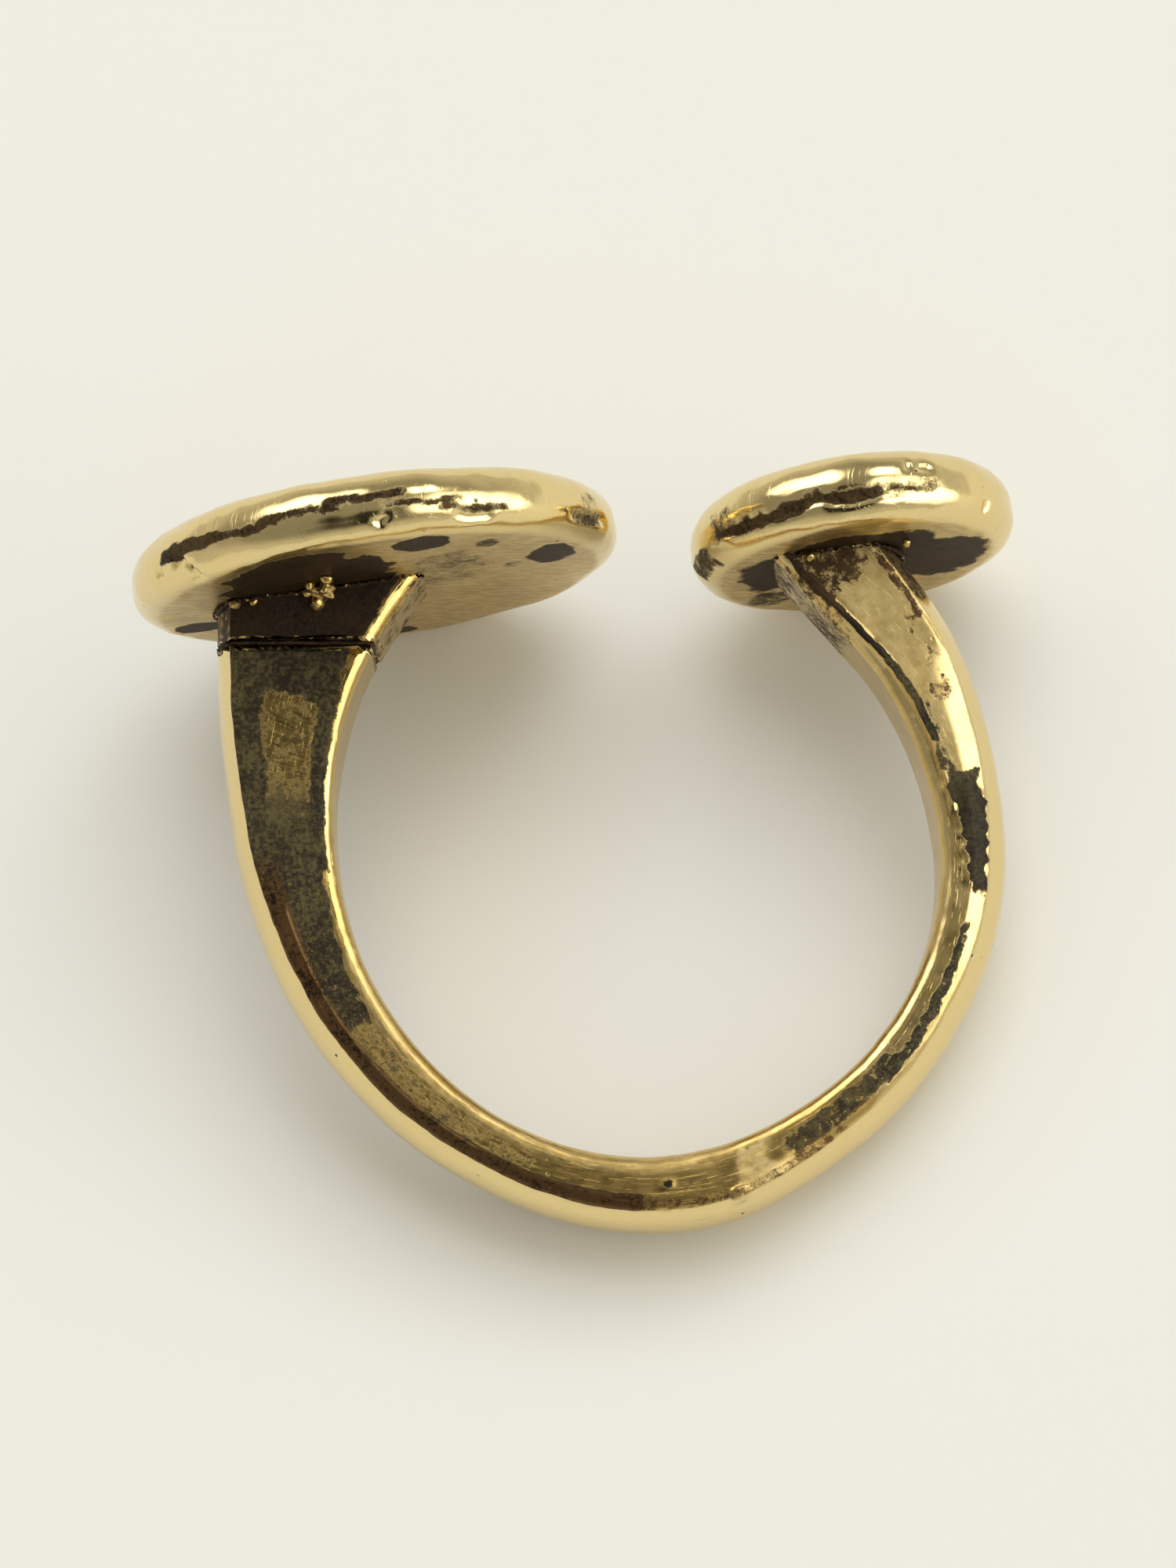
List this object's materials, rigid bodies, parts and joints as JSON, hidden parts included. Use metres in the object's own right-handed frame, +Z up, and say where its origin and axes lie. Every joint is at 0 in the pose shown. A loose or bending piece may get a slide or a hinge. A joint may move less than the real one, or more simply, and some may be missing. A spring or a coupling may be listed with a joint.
{
  "type": "open-front finger ring",
  "caption": "Open-front brass finger ring whose tapering band ends in a large and a small solid round disc, with a gap between their rims.",
  "frame": {"origin": "on the table, under the middle of the bounding box, with the ring lying on its side on the rims of both discs and the foot of its band", "axes": "+X from the large disc's side to the small disc's side, +Y from the foot of the band towards the discs, +Z up"},
  "size_m": [0.025, 0.0218, 0.0137],
  "materials": {
    "shank_brass": "worn satin brass with black-brown patina on the flat sides and polished edges",
    "disc_brass": "hand-polished brass rims with dark patina and small casting pits underneath",
    "solder": "rough dark solder under patina"
  },
  "bodies": {
    "root": {"shank": "shank_brass", "shoulder_block": "shank_brass", "large_disc": "disc_brass", "small_disc": "disc_brass", "shoulder_solder": "solder", "large_disc_solder": "solder", "small_disc_solder": "solder"}
  },
  "joints": []
}
